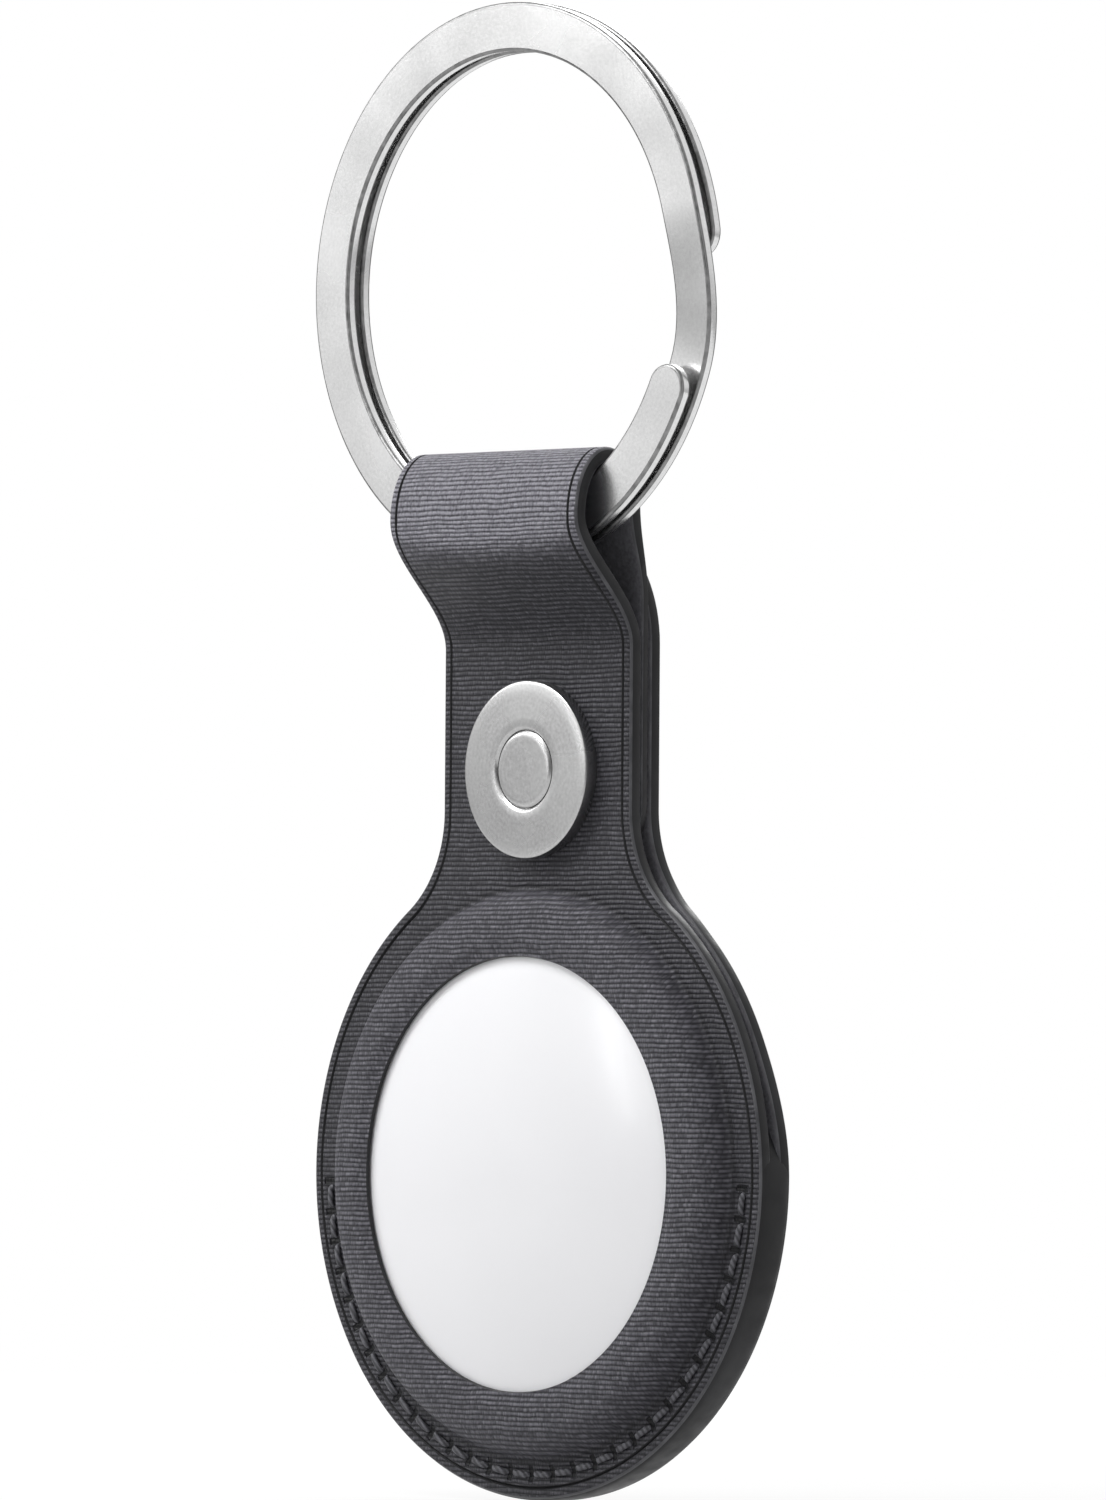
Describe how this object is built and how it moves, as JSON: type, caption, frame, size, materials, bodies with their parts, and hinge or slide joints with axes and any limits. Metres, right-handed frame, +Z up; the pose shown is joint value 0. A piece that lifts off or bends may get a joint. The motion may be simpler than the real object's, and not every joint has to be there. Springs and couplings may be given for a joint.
{
  "type": "tracker tag key holder",
  "caption": "Woven key-ring holder with a round pocket, a snap flap and a strap loop on a flat split ring, holding a round tracker tag.",
  "frame": {"origin": "middle of the split ring, halfway between its two turns", "axes": "+Z up from the tag towards the ring, -Y the front with the round window, +X to the right seen from the front"},
  "size_m": [0.041, 0.0103, 0.0945],
  "materials": {
    "weave": "matte woven twill",
    "lining": "matte",
    "thread": "matte",
    "ring_steel": "satin",
    "snap_steel": "satin",
    "tag_white": "gloss",
    "cover_steel": "polished",
    "frame_plastic": "matte",
    "cell_steel": "satin",
    "contact_brass": "satin",
    "seal_rubber": "matte",
    "board_green": "satin",
    "chip_black": "matte",
    "speaker_steel": "satin",
    "coil_copper": "satin"
  },
  "bodies": {
    "key_ring": {"split_ring": "ring_steel"},
    "strap_loop": {"strap_loop_outer": "weave", "strap_loop_lining": "lining"},
    "holder": {"front_panel": "weave", "front_lining": "lining", "strap_bend_outer": "weave", "strap_bend_lining": "lining", "strap_tail": "weave", "back_panel_lower": "weave", "back_lining_lower": "lining", "rim_welt": "lining", "stitching": "thread", "snap_cap": "snap_steel", "snap_plug": "snap_steel", "snap_socket": "snap_steel", "snap_spring": "snap_steel"},
    "back_flap": {"back_panel_flap": "weave", "back_lining_flap": "lining", "snap_stud": "snap_steel", "snap_back_cap": "snap_steel"},
    "tag": {"tag_shell": "tag_white", "tag_frame": "frame_plastic", "coin_cell": "cell_steel", "battery_contacts": "contact_brass", "cover_seal": "seal_rubber", "circuit_board": "board_green", "board_chips": "chip_black", "speaker_yoke": "speaker_steel", "speaker_magnet": "speaker_steel", "voice_coil": "coil_copper"},
    "battery_cover": {"battery_cover": "cover_steel"}
  },
  "joints": [
    {"name": "ring_spin", "type": "hinge", "parent": "key_ring", "child": "strap_loop", "pos_m": [0, 0, 0], "axis": [0, 1, 0], "continuous": true},
    {"name": "strap_bend", "type": "hinge", "parent": "strap_loop", "child": "holder", "pos_m": [0, 0.0033, -0.0212], "axis": [-1, 0, 0], "range_deg": [0, 45], "deforming": ["strap_bend_outer", "strap_bend_lining"]},
    {"name": "flap_open", "type": "hinge", "parent": "holder", "child": "back_flap", "pos_m": [0, 0.0067, -0.0562], "axis": [-1, 0, 0], "range_deg": [0, 55], "stiffness_Nm_per_rad": 0.002, "deforming": ["snap_spring"]},
    {"name": "tag_spin", "type": "hinge", "parent": "holder", "child": "tag", "pos_m": [0, 0.00335, -0.0562], "axis": [0, 1, 0], "continuous": true},
    {"name": "cover_twist", "type": "hinge", "parent": "tag", "child": "battery_cover", "pos_m": [0, 0.00335, -0.0562], "axis": [0, 1, 0], "range_deg": [0, 30]}
  ]
}
